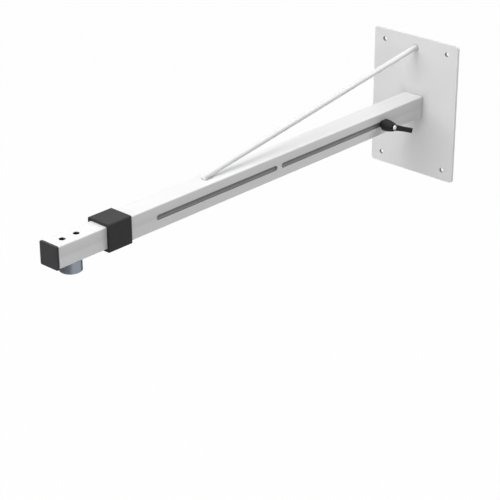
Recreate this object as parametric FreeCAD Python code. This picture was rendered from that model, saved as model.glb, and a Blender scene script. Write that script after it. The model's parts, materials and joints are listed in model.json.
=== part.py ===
"""Telescopic wall arm that carries a projector in front of a wall.

Frame: the origin is the centre of the wall plate's back face, +X is to the right of someone facing the wall,
+Y points into the wall, +Z is up. The arm runs along -Y, with its axis on Y. Lengths are in millimetres.
"""
import FreeCAD, Part
import math
import os

Vector = FreeCAD.Vector

# Wall plate
plate_width = 230.0
plate_height = 320.0
plate_thickness = 6.0
plate_corner_radius = 8.0
plate_edge_radius = 0.8
wall_hole_diameter = 10.0
wall_hole_inset_x = 29.0
wall_hole_inset_z = 24.0

# Outer tube, square, from the plate to its mouth
outer_size = 50.0
outer_wall = 2.0
tube_corner_radius = 2.5
tube_inside_radius = 0.5
mouth_distance = 958.0

# Two slots in its right side, in line, with a bridge between them
slot_bridge = 13.5
slot_mouth_distance = 123.5
slot_plate_distance = 133.0
slot_play = 0.5

# Inner tube, which slides in the outer one
tube_play = 0.5
inner_wall = 2.0
inner_showing = 122.0

# Tie rod from the plate down to the outer tube's top
rod_diameter = 12.0
rod_plate_height = 134.0
rod_foot_distance = 681.0
rod_foot_rise = 4.0

# Weld beads
weld_leg = 2.5
weld_toe = 0.3
foot_weld_leg = 1.4
foot_weld_length = 22.0
foot_weld_height = 2.8

# Collar over the outer tube's mouth
collar_length = 58.5
collar_wall = 3.8
collar_lip = 3.5
collar_play = 0.2
collar_corner_radius = 3.5
collar_edge_radius = 0.8
lip_play = 0.25

# Screw that holds the collar from below
collar_screw_diameter = 4.0
collar_screw_head = 8.0
collar_screw_head_height = 2.6
collar_screw_recess = 1.2
collar_screw_share = 0.6

# Cap on the outer end and guide on the wall end of the inner tube
cap_thickness = 5.0
cap_overhang = 1.5
cap_corner_radius = 3.5
cap_edge_radius = 1.0
cap_plug_length = 20.0
guide_thickness = 5.0
guide_play = 0.2
guide_corner_radius = 2.0
guide_edge_radius = 0.8
guide_plug_length = 15.0
plug_wall = 2.5
plug_play = 0.5
plug_rib_play = 0.05
plug_rib_width = 1.4
plug_rib_count = 3

# Round socket under the outer end
socket_bore = 25.0
socket_wall = 9.5
socket_height = 24.0
socket_bore_depth = 19.0
socket_chamfer = 1.0
socket_gap = 4.4

# Two bolts that hold the socket, and their washers
bolt_diameter = 5.0
bolt_grip = 11.0
bolt_head_diameter = 8.5
bolt_head_height = 5.0
bolt_hex = 4.0
bolt_hex_depth = 2.5
bolt_hole_play = 0.25
washer_diameter = 10.0
washer_thickness = 1.0
access_play = 1.5
tapped_hole_extra = 1.5
thread_play = 0.05

# Grub screw in the socket's side
grub_diameter = 6.0
grub_inset = 0.5
grub_hex = 3.0
grub_hex_depth = 3.0
grub_height = 11.5
grub_point = 1.0

# Stud of the clamp, its nut and its washer
stud_diameter = 10.0
stud_rest_gap = 10.5
stud_hole_play = 0.3
stud_end = 1.5
stud_point = 1.0
nut_rim = 3.5
nut_height = 8.0
nut_chamfer = 0.8
nut_gap = 7.5
clamp_washer_rim = 3.0
clamp_washer_thickness = 1.5

# Foot and toothed ring of the stud
foot_rim = 2.75
foot_length = 5.0
spline_teeth = 20
spline_depth = 0.8
spline_length = 3.0
spline_play = 0.3

# Hub of the lever
lever_angle = 21.0
hub_gap = 0.05
hub_height = 28.0
hub_flare = 5.6
hub_swell = 1.5
hub_swell_level = 0.45
hub_base_round = 2.5
hub_top_round = 1.2
hub_top_wall = 2.8
hub_web = 3.0

# Grip of the lever
lever_reach = 60.0
grip_root_width = 15.0
grip_root_thickness = 10.0
grip_waist_width = 12.0
grip_waist_thickness = 8.0
grip_waist_reach = 20.0
grip_tip_width = 11.5
grip_tip_thickness = 7.0
grip_rise = 8.5
grip_corner = 2.0
grip_tip_round = 1.0

# Shoulder screw and spring that keep the lever on its teeth
lever_screw_shoulder = 6.0
lever_screw_thread = 4.0
lever_screw_head = 10.5
lever_screw_head_height = 3.4
lever_screw_grip = 8.0
lever_screw_recess = 1.5
lever_screw_sink = 1.0
recess_play = 0.75
spring_wire = 1.0
spring_turns = 4.5
spring_room = 10.0

# Pan heads and their cross recess, as shares of the head's radius and height
pan_crown = 0.55
pan_rim = 0.4
pan_bulge_radius = 0.9
pan_bulge_height = 0.78
cross_length = 1.1
cross_width = 0.24

# Sizes that follow
plate_front = -plate_thickness
wall_hole_x = plate_width / 2 - wall_hole_inset_x
wall_hole_z = plate_height / 2 - wall_hole_inset_z
inner_size = outer_size - 2 * outer_wall - 2 * tube_play
inner_bore = inner_size - 2 * inner_wall
side_face = outer_size / 2
outer_top = outer_size / 2
inner_bottom = -inner_size / 2
mouth = -mouth_distance
tip = mouth - inner_showing
collar_end = mouth - collar_lip
collar_size = outer_size + 2 * collar_play + 2 * collar_wall
collar_screw_place = mouth + (collar_length - collar_lip) * collar_screw_share
rod_radius = rod_diameter / 2
rod_foot = Vector(0, -rod_foot_distance, outer_top + rod_foot_rise)
rod_head = Vector(0, plate_front, rod_plate_height)
rod_direction = (rod_head - rod_foot).normalize()

# Sizes that follow at the socket
socket_diameter = socket_bore + 2 * socket_wall
bolt_spacing = socket_bore + socket_wall
socket_centre = tip + cap_plug_length + socket_gap + washer_diameter / 2 + bolt_spacing / 2
access_hole_diameter = washer_diameter + 2 * access_play
grub_length = socket_wall - 2 * grub_inset

# Sizes that follow at the clamp; levels are distances out from the outer tube's right face
slot_width = stud_diameter + 2 * slot_play
slot_length = (mouth_distance - slot_mouth_distance - slot_bridge - slot_plate_distance) / 2
slot_starts = [mouth + slot_mouth_distance, mouth + slot_mouth_distance + slot_length + slot_bridge]
stud_place = -(slot_plate_distance + slot_width / 2 + stud_rest_gap)
nut_size = stud_diameter + 2 * nut_rim
nut_seat = inner_bore / 2 - side_face
inner_start = stud_place + nut_size / 2 + nut_gap + guide_plug_length
foot_radius = stud_diameter / 2 + foot_rim
foot_top = clamp_washer_thickness + foot_length
spline_radius = foot_radius - spline_play
neck_radius = spline_radius - spline_depth
hub_base = foot_top + hub_gap
hub_top = hub_base + hub_height
screw_seat = hub_top - lever_screw_sink
web_top = screw_seat - spring_room
web_bottom = web_top - hub_web
neck_top = web_bottom - spline_play
recess_radius = lever_screw_head / 2 + recess_play
hub_base_radius = foot_radius + hub_flare
hub_top_radius = recess_radius + hub_top_wall
hub_belly_radius = (hub_base_radius + hub_top_radius) / 2 + hub_swell
spring_radius = (lever_screw_shoulder / 2 + recess_radius) / 2

RIGHT = Vector(1, 0, 0)
TO_WALL = Vector(0, 1, 0)
UP = Vector(0, 0, 1)
ORIGIN = Vector(0, 0, 0)


def ring_of_arcs(half_a, half_b, radius, point):
    """Closed outline with four round corners; point turns two numbers into a place in space."""
    edges = []
    joints = []
    for quarter in range(4):
        start = quarter * math.pi / 2
        sign_a = 1 if quarter in (0, 3) else -1
        sign_b = 1 if quarter in (0, 1) else -1
        centre_a = sign_a * (half_a - radius)
        centre_b = sign_b * (half_b - radius)
        turn = [start, start + math.pi / 4, start + math.pi / 2]
        corner = [point(centre_a + radius * math.cos(t), centre_b + radius * math.sin(t)) for t in turn]
        edges.append(Part.Arc(*corner).toShape())
        joints.append((corner[0], corner[2]))
    outline = []
    for index in range(4):
        outline.append(edges[index])
        side = (joints[index][1], joints[(index + 1) % 4][0])
        if not side[0].isEqual(side[1], 1e-6):
            outline.append(Part.makeLine(*side))
    return Part.Wire(outline)


def outline_across(width, height, radius, y):
    """Rounded rectangle across the arm, centred on its axis."""
    return ring_of_arcs(width / 2, height / 2, radius, lambda a, b: Vector(a, y, b))


def bar(width, height, radius, y_from, y_to):
    """Solid bar along the arm with a rounded rectangular section."""
    face = Part.Face(outline_across(width, height, radius, y_from))
    return face.extrude(TO_WALL * (y_to - y_from))


def edges_across(shape, y):
    """Edges that lie wholly in the plane across the arm at y."""
    chosen = []
    for edge in shape.Edges:
        box = edge.BoundBox
        if math.isclose(box.YMin, y, abs_tol=1e-6) and math.isclose(box.YMax, y, abs_tol=1e-6):
            chosen.append(edge)
    return chosen


def disc(radius, height, centre=ORIGIN, direction=UP):
    return Part.makeCylinder(radius, height, centre, direction)


def ring(outer_radius, inner_radius, height):
    """Flat washer on Z, standing on the origin."""
    return disc(outer_radius, height).cut(disc(inner_radius, height))


def turned(points):
    """Solid of revolution about Z from an outline of (radius, height) points."""
    corners = [Vector(radius, 0, height) for radius, height in points]
    return full_turn(Part.makePolygon(corners + corners[:1]))


def full_turn(outline):
    return Part.Face(outline).revolve(ORIGIN, UP, 360)


def hex_prism(across_flats, height, level):
    """Hexagonal prism on Z that stands at a level."""
    radius = across_flats / math.sqrt(3)
    turns = [k * math.pi / 3 for k in range(7)]
    corners = [Vector(radius * math.cos(turn), radius * math.sin(turn), level) for turn in turns]
    return Part.Face(Part.makePolygon(corners)).extrude(UP * height)


def moved(shape, place, turn=FreeCAD.Rotation()):
    """Copy of a shape, turned about the origin and then shifted, on top of any placement it has."""
    copy = shape.copy()
    copy.Placement = FreeCAD.Placement(place, turn).multiply(shape.Placement)
    return copy


def pan_head_screw(head_diameter, head_height, recess, shank):
    """Screw on Z: pan head with a cross recess above the origin, shank of (radius, height) points below."""
    radius = head_diameter / 2
    rim = Vector(radius, 0, head_height * pan_rim)
    bulge = Vector(radius * pan_bulge_radius, 0, head_height * pan_bulge_height)
    crown = Vector(radius * pan_crown, 0, head_height)
    top = Vector(0, 0, head_height)
    corners = [top] + [Vector(r, 0, z) for r, z in shank] + [Vector(radius, 0, 0), rim]
    dome = [Part.Arc(rim, bulge, crown).toShape(), Part.makeLine(crown, top)]
    screw = full_turn(Part.Wire(Part.makePolygon(corners).Edges + dome))
    length = radius * cross_length
    width = radius * cross_width
    floor = head_height - recess
    cross = [
        Part.makeBox(length, width, head_height, Vector(-length / 2, -width / 2, floor)),
        Part.makeBox(width, length, head_height, Vector(-width / 2, -length / 2, floor)),
    ]
    return screw.cut(cross)


def make_wall_plate():
    plate = bar(plate_width, plate_height, plate_corner_radius, plate_front, 0)
    plate = plate.makeFillet(plate_edge_radius, edges_across(plate, plate_front))
    holes = []
    for x in (-wall_hole_x, wall_hole_x):
        for z in (-wall_hole_z, wall_hole_z):
            holes.append(disc(wall_hole_diameter / 2, plate_thickness, Vector(x, plate_front, z), TO_WALL))
    return plate.cut(holes)


def slot_cutter(y_start):
    """Round-ended slot through the right wall of the outer tube."""
    radius = slot_width / 2
    half = slot_length / 2
    inside = side_face - outer_wall - tube_play
    outline = ring_of_arcs(half, radius, radius, lambda a, b: Vector(inside, y_start + half + a, b))
    return Part.Face(outline).extrude(RIGHT * outer_size)


def make_outer_tube():
    inside = outer_size - 2 * outer_wall
    tube = bar(outer_size, outer_size, tube_corner_radius, mouth, plate_front)
    hollow = bar(inside, inside, tube_inside_radius, mouth, plate_front)
    hole_radius = collar_screw_diameter / 2 + thread_play
    screw_hole = disc(hole_radius, outer_size, Vector(0, collar_screw_place, -outer_size))
    return tube.cut([hollow, screw_hole] + [slot_cutter(start) for start in slot_starts])


def rod_bar(past_foot, past_head):
    """Round bar on the tie rod's axis, longer than the rod at each end by the lengths given."""
    start = rod_foot - rod_direction * past_foot
    end = rod_head + rod_direction * past_head
    return disc(rod_radius, (end - start).Length, start, rod_direction)


def plate_side():
    """Block behind the plate's front face, round the head of the tie rod."""
    size = 4 * rod_diameter
    return Part.makeBox(size, size, size, Vector(-size / 2, plate_front, rod_plate_height - size / 2))


def make_tie_rod():
    """Round rod cut square at its foot, trimmed where it lies on the tube and where it meets the plate."""
    tube = bar(outer_size, outer_size, tube_corner_radius, mouth, plate_front)
    return rod_bar(0, rod_diameter).cut([plate_side(), tube])


def make_root_weld():
    """Fillet weld all round the outer tube where it meets the plate."""
    wide = outer_size + 2 * weld_leg
    thin = outer_size + 2 * weld_toe
    bead = Part.makeLoft([
        outline_across(wide, wide, tube_corner_radius + weld_leg, plate_front),
        outline_across(thin, thin, tube_corner_radius + weld_toe, plate_front - weld_leg),
    ], True, True)
    return bead.cut(bar(outer_size, outer_size, tube_corner_radius, plate_front - 2 * weld_leg, 0))


def make_rod_welds():
    """Ring of weld round the rod at the plate, and a bead on both sides of its foot on the tube."""
    rod = rod_bar(rod_diameter, rod_diameter)
    base = rod_head + rod_direction * weld_leg
    head_weld = Part.makeCone(
        rod_radius + 2 * weld_leg, rod_radius + weld_toe, 2 * weld_leg, base, rod_direction * -1
    )
    broad = rod_radius + foot_weld_leg
    narrow = rod_radius - weld_toe
    section = Part.makePolygon([
        Vector(-broad, -rod_foot_distance, outer_top),
        Vector(-narrow, -rod_foot_distance, outer_top + foot_weld_height),
        Vector(narrow, -rod_foot_distance, outer_top + foot_weld_height),
        Vector(broad, -rod_foot_distance, outer_top),
        Vector(-broad, -rod_foot_distance, outer_top),
    ])
    foot_weld = Part.Face(section).extrude(TO_WALL * foot_weld_length)
    return Part.makeCompound([head_weld.cut([rod, plate_side()]), foot_weld.cut(rod)])


def make_collar():
    wall_end = collar_end + collar_length
    shell = bar(collar_size, collar_size, collar_corner_radius, collar_end, wall_end)
    rims = edges_across(shell, collar_end) + edges_across(shell, wall_end)
    shell = shell.makeFillet(collar_edge_radius, rims)
    over_tube = outer_size + 2 * collar_play
    pocket = bar(over_tube, over_tube, tube_corner_radius + collar_play, mouth, wall_end)
    through = inner_size + 2 * lip_play
    opening = bar(through, through, tube_corner_radius, collar_end, mouth)
    hole_radius = collar_screw_diameter / 2 + bolt_hole_play
    screw_hole = disc(hole_radius, collar_size, Vector(0, collar_screw_place, -collar_size))
    return shell.cut([pocket, opening, screw_hole])


def make_collar_screw():
    """Pan-head screw up through the collar and the outer tube's bottom wall."""
    radius = collar_screw_diameter / 2
    shank = collar_size / 2 - outer_size / 2 + outer_wall
    outline = [(0, -shank), (radius, -shank), (radius, 0)]
    screw = pan_head_screw(collar_screw_head, collar_screw_head_height, collar_screw_recess, outline)
    return moved(screw, Vector(0, collar_screw_place, -collar_size / 2), FreeCAD.Rotation(RIGHT, 180))


def bolt_places(level):
    """Points at the two socket bolts, at a level."""
    return [Vector(0, socket_centre + side * bolt_spacing / 2, level) for side in (-1, 1)]


def make_inner_tube():
    tube = bar(inner_size, inner_size, tube_corner_radius, tip, inner_start)
    cuts = [bar(inner_bore, inner_bore, tube_inside_radius, tip, inner_start)]
    cuts.append(disc(stud_diameter / 2 + stud_hole_play, inner_size, Vector(0, stud_place, 0), RIGHT))
    for place in bolt_places(0):
        cuts.append(disc(access_hole_diameter / 2, inner_size, place))
    for place in bolt_places(-inner_size):
        cuts.append(disc(bolt_diameter / 2 + bolt_hole_play, inner_size, place))
    return tube.cut(cuts)


def tube_end_plug(flange, corner, edge, thickness, length):
    """Moulded insert: a flange before the plane of the origin and a hollow ribbed plug after it, along +Y."""
    head = bar(flange, flange, corner, -thickness, 0)
    head = head.makeFillet(edge, edges_across(head, -thickness))
    body_size = inner_bore - 2 * plug_play
    rib_size = inner_bore - 2 * plug_rib_play
    hollow_size = body_size - 2 * plug_wall
    pieces = [bar(body_size, body_size, tube_inside_radius, 0, length)]
    rib_step = length / plug_rib_count
    for index in range(plug_rib_count):
        start = rib_step * index + (rib_step - plug_rib_width) / 2
        pieces.append(bar(rib_size, rib_size, tube_inside_radius, start, start + plug_rib_width))
    hollow = bar(hollow_size, hollow_size, tube_inside_radius, 0, length)
    return head.fuse(pieces).cut(hollow).removeSplitter()


def make_end_cap():
    flange = inner_size + 2 * cap_overhang
    cap = tube_end_plug(flange, cap_corner_radius, cap_edge_radius, cap_thickness, cap_plug_length)
    return moved(cap, Vector(0, tip, 0))


def make_guide_plug():
    """Plug whose flange is wider than the inner tube, so that it guides the tube's wall end."""
    flange = outer_size - 2 * outer_wall - 2 * guide_play
    plug = tube_end_plug(flange, guide_corner_radius, guide_edge_radius, guide_thickness, guide_plug_length)
    return moved(plug, Vector(0, inner_start, 0), FreeCAD.Rotation(UP, 180))


def make_socket():
    """Turned round socket, open below, tapped for two bolts above and one screw in its left side."""
    outer = socket_diameter / 2
    bore = socket_bore / 2
    body = turned([
        (0, 0),
        (outer, 0),
        (outer, -socket_height + socket_chamfer),
        (outer - socket_chamfer, -socket_height),
        (bore + socket_chamfer, -socket_height),
        (bore, -socket_height + socket_chamfer),
        (bore, -socket_height + socket_bore_depth),
        (0, -socket_height + socket_bore_depth),
    ])
    depth = bolt_grip + tapped_hole_extra
    cuts = [disc(grub_diameter / 2 + thread_play, outer, UP * (grub_height - socket_height), RIGHT * -1)]
    for side in (-1, 1):
        cuts.append(disc(bolt_diameter / 2 + thread_play, depth, Vector(0, side * bolt_spacing / 2, -depth)))
    return moved(body.cut(cuts), Vector(0, socket_centre, inner_bottom))


def make_socket_bolts():
    length = bolt_grip + inner_wall + washer_thickness
    radius = bolt_diameter / 2
    head_radius = bolt_head_diameter / 2
    bolt = turned([
        (0, -length),
        (radius, -length),
        (radius, 0),
        (head_radius, 0),
        (head_radius, bolt_head_height),
        (0, bolt_head_height),
    ])
    bolt = bolt.cut(hex_prism(bolt_hex, bolt_hex_depth, bolt_head_height - bolt_hex_depth))
    seat = inner_bottom + inner_wall + washer_thickness
    return Part.makeCompound([moved(bolt, place) for place in bolt_places(seat)])


def make_socket_washers():
    washer = ring(washer_diameter / 2, bolt_diameter / 2 + bolt_hole_play, washer_thickness)
    return Part.makeCompound([moved(washer, place) for place in bolt_places(inner_bottom + inner_wall)])


def make_socket_grub_screw():
    """Hexagon-socket grub screw in the left side of the round socket, clear of its bore."""
    radius = grub_diameter / 2
    screw = turned([
        (0, 0),
        (radius - grub_point, 0),
        (radius, grub_point),
        (radius, grub_length),
        (0, grub_length),
    ])
    screw = screw.cut(hex_prism(grub_hex, grub_hex_depth, grub_length - grub_hex_depth))
    place = Vector(-socket_bore / 2 - grub_inset, socket_centre, inner_bottom - socket_height + grub_height)
    return moved(screw, place, FreeCAD.Rotation(UP, RIGHT * -1))


def on_clamp(shape, angle=0.0):
    """Puts a piece made on Z on the clamp's axis: Z becomes +X and X becomes the way to the wall."""
    turn = FreeCAD.Rotation(TO_WALL, UP, RIGHT, "XYZ").multiply(FreeCAD.Rotation(UP, angle))
    return moved(shape, Vector(side_face, stud_place, 0), turn)


def toothed_bar(tip_radius, start, length):
    """Bar on Z with pointed teeth all round whose tips lie on tip_radius."""
    corners = []
    for step in range(2 * spline_teeth):
        angle = math.pi * step / spline_teeth
        radius = tip_radius - spline_depth * (step % 2)
        corners.append(Vector(radius * math.cos(angle), radius * math.sin(angle), start))
    return Part.Face(Part.makePolygon(corners + corners[:1])).extrude(UP * length)


def make_weld_nut():
    """Square nut welded to the inside of the inner tube's right wall."""
    nut = Part.makeBox(nut_size, nut_size, nut_height, Vector(-nut_size / 2, -nut_size / 2, -nut_height))
    far_edges = [edge for edge in nut.Edges if edge.BoundBox.ZMax < nut_chamfer - nut_height]
    nut = nut.makeChamfer(nut_chamfer, far_edges)
    nut = nut.cut(disc(stud_diameter / 2 + thread_play, nut_height, UP * -nut_height))
    return on_clamp(moved(nut, UP * nut_seat))


def make_clamp_washer():
    outer_radius = slot_width / 2 + clamp_washer_rim
    return on_clamp(ring(outer_radius, stud_diameter / 2 + stud_hole_play, clamp_washer_thickness))


def make_clamp_screw():
    """Threaded stud with a foot, a toothed ring and a neck, tapped for the lever's screw."""
    stud_radius = stud_diameter / 2
    stud_bottom = nut_seat - nut_height - stud_end
    body = turned([
        (0, stud_bottom),
        (stud_radius - stud_point, stud_bottom),
        (stud_radius, stud_bottom + stud_point),
        (stud_radius, clamp_washer_thickness),
        (foot_radius, clamp_washer_thickness),
        (foot_radius, foot_top),
        (neck_radius, foot_top),
        (neck_radius, neck_top),
        (0, neck_top),
    ])
    body = body.fuse(toothed_bar(spline_radius, foot_top, spline_length))
    depth = lever_screw_grip + tapped_hole_extra
    hole = disc(lever_screw_thread / 2 + thread_play, depth, UP * (neck_top - depth))
    return on_clamp(body.cut(hole), -lever_angle)


def make_hub():
    """Body of revolution: rounded at the base, swelling outline, narrower at the top."""
    base_in = Vector(hub_base_radius - hub_base_round, 0, hub_base)
    round_middle = hub_base_round * (1 - math.sqrt(0.5))
    base_middle = Vector(hub_base_radius - round_middle, 0, hub_base + round_middle)
    base_out = Vector(hub_base_radius, 0, hub_base + hub_base_round)
    belly = Vector(hub_belly_radius, 0, hub_base + hub_height * hub_swell_level)
    top_out = Vector(hub_top_radius, 0, hub_top - hub_top_round)
    top_in = Vector(hub_top_radius - hub_top_round, 0, hub_top)
    return full_turn(Part.Wire([
        Part.makeLine(Vector(0, 0, hub_base), base_in),
        Part.Arc(base_in, base_middle, base_out).toShape(),
        Part.Arc(base_out, belly, top_out).toShape(),
        Part.makeLine(top_out, top_in),
        Part.makeLine(top_in, Vector(0, 0, hub_top)),
        Part.makeLine(Vector(0, 0, hub_top), Vector(0, 0, hub_base)),
    ]))


def grip_section(reach, width, thickness, level):
    """Rounded rectangle across the grip, at a distance from the hub's axis."""
    return ring_of_arcs(width / 2, thickness / 2, grip_corner, lambda a, b: Vector(reach, a, level + b))


def make_grip():
    """Flat bar that narrows to a waist, leans outwards and ends square with rounded edges."""
    root_level = hub_top - grip_root_thickness / 2
    waist_level = root_level + grip_rise * grip_waist_reach / lever_reach
    grip = Part.makeLoft([
        grip_section(0, grip_root_width, grip_root_thickness, root_level),
        grip_section(grip_waist_reach, grip_waist_width, grip_waist_thickness, waist_level),
        grip_section(lever_reach, grip_tip_width, grip_tip_thickness, root_level + grip_rise),
    ], True, False)
    end_edges = [edge for edge in grip.Edges if edge.BoundBox.XMin > lever_reach - grip_tip_round]
    return grip.makeFillet(grip_tip_round, end_edges)


def make_clamp_lever():
    """Lever: a waisted hub over the stud's toothed ring, with a flat grip that leans outwards."""
    neck_bore = neck_radius + spline_play
    inside = [
        toothed_bar(spline_radius + spline_play, hub_base, spline_length + spline_play),
        disc(neck_bore, web_bottom - hub_base, UP * hub_base),
        disc(lever_screw_shoulder / 2 + spline_play, hub_height, UP * hub_base),
        disc(recess_radius, hub_height, UP * web_top),
    ]
    return on_clamp(make_hub().fuse(make_grip()).cut(inside), -lever_angle)


def make_lever_screw():
    """Shoulder screw in the lever's recess, with its shoulder on the stud's neck and its thread in it."""
    shoulder = screw_seat - neck_top
    shoulder_radius = lever_screw_shoulder / 2
    thread_radius = lever_screw_thread / 2
    shank = [
        (0, -shoulder - lever_screw_grip),
        (thread_radius, -shoulder - lever_screw_grip),
        (thread_radius, -shoulder),
        (shoulder_radius, -shoulder),
        (shoulder_radius, 0),
    ]
    screw = pan_head_screw(lever_screw_head, lever_screw_head_height, lever_screw_recess, shank)
    return on_clamp(moved(screw, UP * screw_seat), -lever_angle)


def make_lever_spring():
    """Compression spring round the screw's shoulder, between the lever's web and the screw's head."""
    length = spring_room - spring_wire
    path = Part.makeHelix(length / spring_turns, length, spring_radius)
    section = Part.Wire([Part.makeCircle(spring_wire / 2, RIGHT * spring_radius, TO_WALL)])
    coil = Part.Wire(path).makePipeShell([section], True, True)
    return on_clamp(moved(coil, UP * (web_top + spring_wire / 2)))


SUBPARTS = {
    "wall_plate": make_wall_plate,
    "outer_tube": make_outer_tube,
    "tie_rod": make_tie_rod,
    "root_weld": make_root_weld,
    "rod_welds": make_rod_welds,
    "collar": make_collar,
    "collar_screw": make_collar_screw,
    "inner_tube": make_inner_tube,
    "end_cap": make_end_cap,
    "guide_plug": make_guide_plug,
    "socket": make_socket,
    "socket_bolts": make_socket_bolts,
    "socket_washers": make_socket_washers,
    "socket_grub_screw": make_socket_grub_screw,
    "weld_nut": make_weld_nut,
    "clamp_washer": make_clamp_washer,
    "clamp_screw": make_clamp_screw,
    "clamp_lever": make_clamp_lever,
    "lever_screw": make_lever_screw,
    "lever_spring": make_lever_spring,
}

os.makedirs("parts", exist_ok=True)
for node, make in SUBPARTS.items():
    shape = make()
    shape.exportStep(os.path.join("parts", node + ".step"))
    print(node, "solids", len(shape.Solids), "valid", shape.isValid(), "volume", round(shape.Volume, 1))
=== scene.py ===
"""Finishes, weld beads, threads and studio for the telescopic wall arm. Lengths are in metres."""
import json
import math

import bmesh
import bpy
from bpy.props import FloatProperty, FloatVectorProperty, IntProperty, PointerProperty
from bpy.types import Operator, Panel, PropertyGroup
from mathutils import Euler, Matrix, Vector


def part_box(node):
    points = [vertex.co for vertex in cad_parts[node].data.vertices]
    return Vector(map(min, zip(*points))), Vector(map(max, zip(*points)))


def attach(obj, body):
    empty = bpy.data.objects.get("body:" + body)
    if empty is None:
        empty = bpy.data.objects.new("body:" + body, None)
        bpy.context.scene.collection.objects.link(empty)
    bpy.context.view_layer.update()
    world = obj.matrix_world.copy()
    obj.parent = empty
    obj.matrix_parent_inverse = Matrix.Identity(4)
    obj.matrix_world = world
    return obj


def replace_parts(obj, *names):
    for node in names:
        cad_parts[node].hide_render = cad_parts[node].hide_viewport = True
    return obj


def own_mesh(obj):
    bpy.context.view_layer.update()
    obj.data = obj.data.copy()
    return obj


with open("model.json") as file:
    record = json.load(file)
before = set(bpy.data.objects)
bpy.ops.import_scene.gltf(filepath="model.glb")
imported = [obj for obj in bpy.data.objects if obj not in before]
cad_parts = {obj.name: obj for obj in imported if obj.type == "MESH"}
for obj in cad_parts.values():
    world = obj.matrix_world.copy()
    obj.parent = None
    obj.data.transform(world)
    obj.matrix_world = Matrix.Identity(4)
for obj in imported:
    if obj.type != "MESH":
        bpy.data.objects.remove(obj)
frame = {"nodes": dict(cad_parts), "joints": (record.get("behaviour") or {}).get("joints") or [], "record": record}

bl_info = {
    "name": "Telescopic wall arm",
    "version": (1, 0, 0),
    "blender": (4, 5, 0),
    "location": "3D View > Sidebar > Wall arm",
    "description": "Dresses the wall arm's steel, plastic and fasteners and sets up its studio",
    "category": "Object",
}

SLOT_COLOURS = {entry["slot"]: entry["base_color"] for entry in frame["record"]["materials"]}

# Sizes from the part's source that the boxes of its nodes don't give
TUBE_WALL = 0.002
TUBE_CORNER_RADIUS = 0.0025
SLOT_HALF_HEIGHT = 0.0055
SLOT_OUTER_END = -0.8345
ACCESS_HOLES = ((0, -1.0506), (0, -1.0161))
ACCESS_HOLE_RADIUS = 0.0065
WALL_HOLE_PLACE = (0.086, 0.136)
ROD_RADIUS = 0.006
ROD_FOOT_DISTANCE = 0.681
ROD_FOOT_RISE = 0.004
ROD_PLATE_HEIGHT = 0.134
ROD_WELD_LEG = 0.0025
BOLT_HEAD_RADIUS = 0.00425
LEVER_ANGLE = math.radians(21.0)
RING_TEETH = 20

COAT_SPECULAR = 0.45
PLAIN_WHITE = (1.0, 1.0, 1.0)


def length(name, description, default, largest=1.0):
    """Length property, shown in the scene's unit."""
    return FloatProperty(name=name, description=description, default=default, min=0.0, max=largest,
                         precision=5, unit="LENGTH", subtype="DISTANCE")


def share(name, description, default):
    """Property for a share between nothing and all."""
    return FloatProperty(name=name, description=description, default=default, min=0.0, max=1.0,
                         subtype="FACTOR")


def power(name, description, default):
    """Property for the power of a lamp, in watts."""
    return FloatProperty(name=name, description=description, default=default, min=0.0, unit="POWER")


def colour(name, description, slot):
    """Colour property that starts from the colour of one of the record's material slots."""
    return FloatVectorProperty(name=name, description=description, default=SLOT_COLOURS[slot],
                               size=3, min=0.0, max=1.0, subtype="COLOR")


class CoatLook(PropertyGroup):
    """Powder coat on the steelwork."""
    white: FloatVectorProperty(name="Coat", description="Colour of the powder coat", size=3,
                               default=(0.868, 0.868, 0.868), min=0.0, max=1.0, subtype="COLOR")
    roughness: share("Roughness", "How matt the coat is", 0.42)
    peel_width: length("Peel width", "Width of one soft dimple in the coat", 0.0018)
    peel_depth: length("Peel depth", "Depth of the dimples", 0.000018)
    cloudiness: share("Cloudiness", "How much the white changes over the steelwork", 0.03)
    # Painted shade: near-black grey laid inside tubes, slots and holes, where shade falls, on a thinner coat
    # there.
    thin_coat_and_shade: FloatVectorProperty(name="Thin coat and painted shade", description="Colour inside tubes, slots and holes",
                              size=3, default=(0.10, 0.10, 0.10), min=0.0, max=1.0,
                              subtype="COLOR")
    # Painted shade: colour of the dark band behind the outer tube's slots, laid on the sliding tube.
    slot_shade: FloatVectorProperty(name="Painted slot shade", description="Colour of the track that the "
                                "outer tube's slots leave on the sliding tube", size=3,
                                default=(0.26, 0.26, 0.256), min=0.0, max=1.0, subtype="COLOR")


class PlasticLook(PropertyGroup):
    """Moulded plastic and the lever's textured coat."""
    black: colour("Plastic", "Colour of the moulded parts", "black_plastic")
    lever: colour("Lever", "Colour of the lever's coat", "black_lever_coat")
    grain_width: length("Grain width", "Width of one pit of the moulded grain", 0.0006)
    grain_depth: length("Grain depth", "Depth of the grain", 0.00002)
    roughness: share("Roughness", "How matt the plastic is", 0.5)


class SteelLook(PropertyGroup):
    """Uncoated steel parts."""
    turned: colour("Socket", "Colour of the turned socket", "bright_steel")
    zinc: colour("Zinc", "Colour of the zinc plate", "zinc_plated_steel")
    oxide: colour("Black oxide", "Colour of the black screws", "black_oxide_steel")
    plain: colour("Plain steel", "Colour of the bare nut", "bare_steel")
    spring: colour("Spring", "Colour of the spring wire", "spring_steel")
    ring_width: length("Turning marks", "Width of one turning mark", 0.00035)


class WeldShape(PropertyGroup):
    """Shape of the weld beads."""
    ripple: length("Ripple length", "Distance between two ripples of a bead", 0.0019)
    ripple_height: length("Ripple height", "Height of a ripple", 0.00022)
    crown: length("Crown", "How far a bead swells past a flat fillet", 0.0004)


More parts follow.
